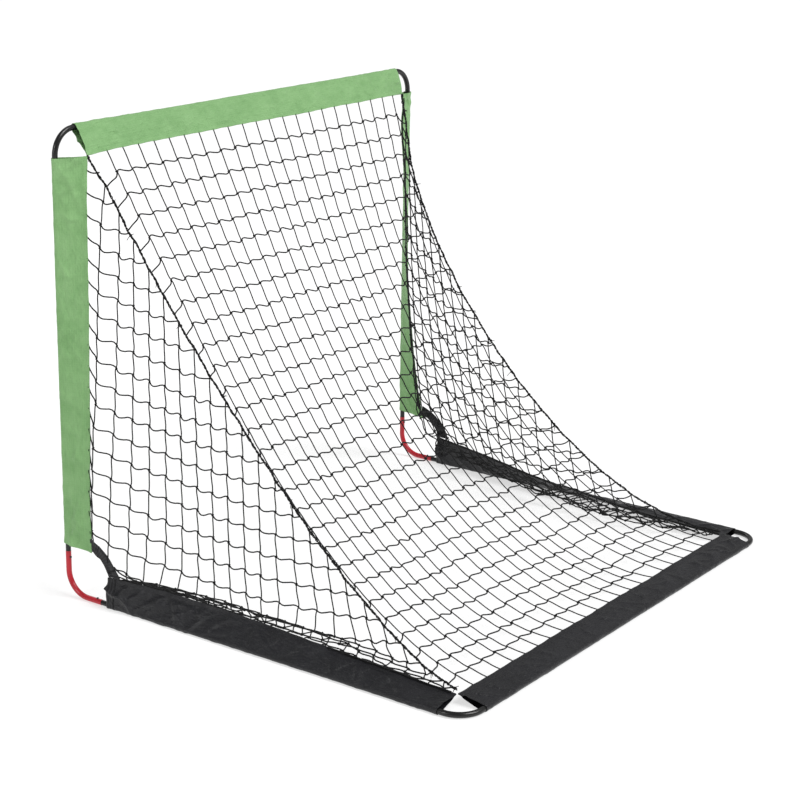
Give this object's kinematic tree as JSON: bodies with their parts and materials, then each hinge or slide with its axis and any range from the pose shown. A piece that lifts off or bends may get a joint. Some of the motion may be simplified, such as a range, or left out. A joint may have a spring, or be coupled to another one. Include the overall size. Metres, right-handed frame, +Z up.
{
  "type": "hockey goal net",
  "caption": "Portable street hockey goal: push-together steel tube frame on a rectangular floor base, cloth sleeves round the bars, and a slack sloping net.",
  "frame": {"origin": "on the floor, at the middle of the base", "axes": "+Z up, +Y from the mouth towards the rear bar, +X along the bars; the mouth faces -Y"},
  "size_m": [1.3912, 1.1688, 1.1342],
  "materials": {
    "black_paint": "gloss",
    "red_paint": "gloss",
    "button_black": "satin",
    "spring_steel": "satin",
    "green_cloth": "satin",
    "black_cloth": "satin",
    "binding": "matte",
    "netting": "matte",
    "lacing": "matte"
  },
  "bodies": {
    "goal": {"back_net": "netting", "corner_band_left": "binding", "corner_band_right": "binding", "front_elbow_left": "red_paint", "front_elbow_right": "red_paint", "lacing_cord_left": "lacing", "lacing_cord_right": "lacing", "post_left": "black_paint", "post_right": "black_paint", "post_sleeve_left": "green_cloth", "post_sleeve_right": "green_cloth", "rear_bar": "black_paint", "rear_elbow_left": "black_paint", "rear_elbow_right": "black_paint", "rear_sleeve": "black_cloth", "side_net_left": "netting", "side_net_right": "netting", "side_rail_left": "black_paint", "side_rail_right": "black_paint", "side_sleeve_left": "black_cloth", "side_sleeve_right": "black_cloth", "spring_front_left_post": "spring_steel", "spring_front_left_rail": "spring_steel", "spring_front_right_post": "spring_steel", "spring_front_right_rail": "spring_steel", "spring_rear_left_bar": "spring_steel", "spring_rear_left_rail": "spring_steel", "spring_rear_right_bar": "spring_steel", "spring_rear_right_rail": "spring_steel", "spring_top_left_bar": "spring_steel", "spring_top_left_post": "spring_steel", "spring_top_right_bar": "spring_steel", "spring_top_right_post": "spring_steel", "top_bar": "black_paint", "top_elbow_left": "black_paint", "top_elbow_right": "black_paint", "top_sleeve": "green_cloth"},
    "front_left_post_button": {"button_front_left_post": "button_black"},
    "front_left_rail_button": {"button_front_left_rail": "button_black"},
    "front_right_post_button": {"button_front_right_post": "button_black"},
    "front_right_rail_button": {"button_front_right_rail": "button_black"},
    "rear_left_bar_button": {"button_rear_left_bar": "button_black"},
    "rear_left_rail_button": {"button_rear_left_rail": "button_black"},
    "rear_right_bar_button": {"button_rear_right_bar": "button_black"},
    "rear_right_rail_button": {"button_rear_right_rail": "button_black"},
    "top_left_bar_button": {"button_top_left_bar": "button_black"},
    "top_left_post_button": {"button_top_left_post": "button_black"},
    "top_right_bar_button": {"button_top_right_bar": "button_black"},
    "top_right_post_button": {"button_top_right_post": "button_black"}
  },
  "joints": [
    {"name": "front_left_post_press", "type": "slide", "parent": "goal", "child": "front_left_post_button", "axis": [0, -1, 0], "range_m": [0, 0.0033], "stiffness_N_per_m": 1500, "deforming": ["spring_front_left_post"]},
    {"name": "front_left_rail_press", "type": "slide", "parent": "goal", "child": "front_left_rail_button", "axis": [0, 0, -1], "range_m": [0, 0.0033], "stiffness_N_per_m": 1500, "deforming": ["spring_front_left_rail"]},
    {"name": "front_right_post_press", "type": "slide", "parent": "goal", "child": "front_right_post_button", "axis": [0, -1, 0], "range_m": [0, 0.0033], "stiffness_N_per_m": 1500, "deforming": ["spring_front_right_post"]},
    {"name": "front_right_rail_press", "type": "slide", "parent": "goal", "child": "front_right_rail_button", "axis": [0, 0, -1], "range_m": [0, 0.0033], "stiffness_N_per_m": 1500, "deforming": ["spring_front_right_rail"]},
    {"name": "rear_left_bar_press", "type": "slide", "parent": "goal", "child": "rear_left_bar_button", "axis": [0, 1, 0], "range_m": [0, 0.0033], "stiffness_N_per_m": 1500, "deforming": ["spring_rear_left_bar"]},
    {"name": "rear_left_rail_press", "type": "slide", "parent": "goal", "child": "rear_left_rail_button", "axis": [-1, 0, 0], "range_m": [0, 0.0033], "stiffness_N_per_m": 1500, "deforming": ["spring_rear_left_rail"]},
    {"name": "rear_right_bar_press", "type": "slide", "parent": "goal", "child": "rear_right_bar_button", "axis": [0, 1, 0], "range_m": [0, 0.0033], "stiffness_N_per_m": 1500, "deforming": ["spring_rear_right_bar"]},
    {"name": "rear_right_rail_press", "type": "slide", "parent": "goal", "child": "rear_right_rail_button", "axis": [1, 0, 0], "range_m": [0, 0.0033], "stiffness_N_per_m": 1500, "deforming": ["spring_rear_right_rail"]},
    {"name": "top_left_bar_press", "type": "slide", "parent": "goal", "child": "top_left_bar_button", "axis": [0, 0, 1], "range_m": [0, 0.0033], "stiffness_N_per_m": 1500, "deforming": ["spring_top_left_bar"]},
    {"name": "top_left_post_press", "type": "slide", "parent": "goal", "child": "top_left_post_button", "axis": [0, -1, 0], "range_m": [0, 0.0033], "stiffness_N_per_m": 1500, "deforming": ["spring_top_left_post"]},
    {"name": "top_right_bar_press", "type": "slide", "parent": "goal", "child": "top_right_bar_button", "axis": [0, 0, 1], "range_m": [0, 0.0033], "stiffness_N_per_m": 1500, "deforming": ["spring_top_right_bar"]},
    {"name": "top_right_post_press", "type": "slide", "parent": "goal", "child": "top_right_post_button", "axis": [0, -1, 0], "range_m": [0, 0.0033], "stiffness_N_per_m": 1500, "deforming": ["spring_top_right_post"]}
  ]
}
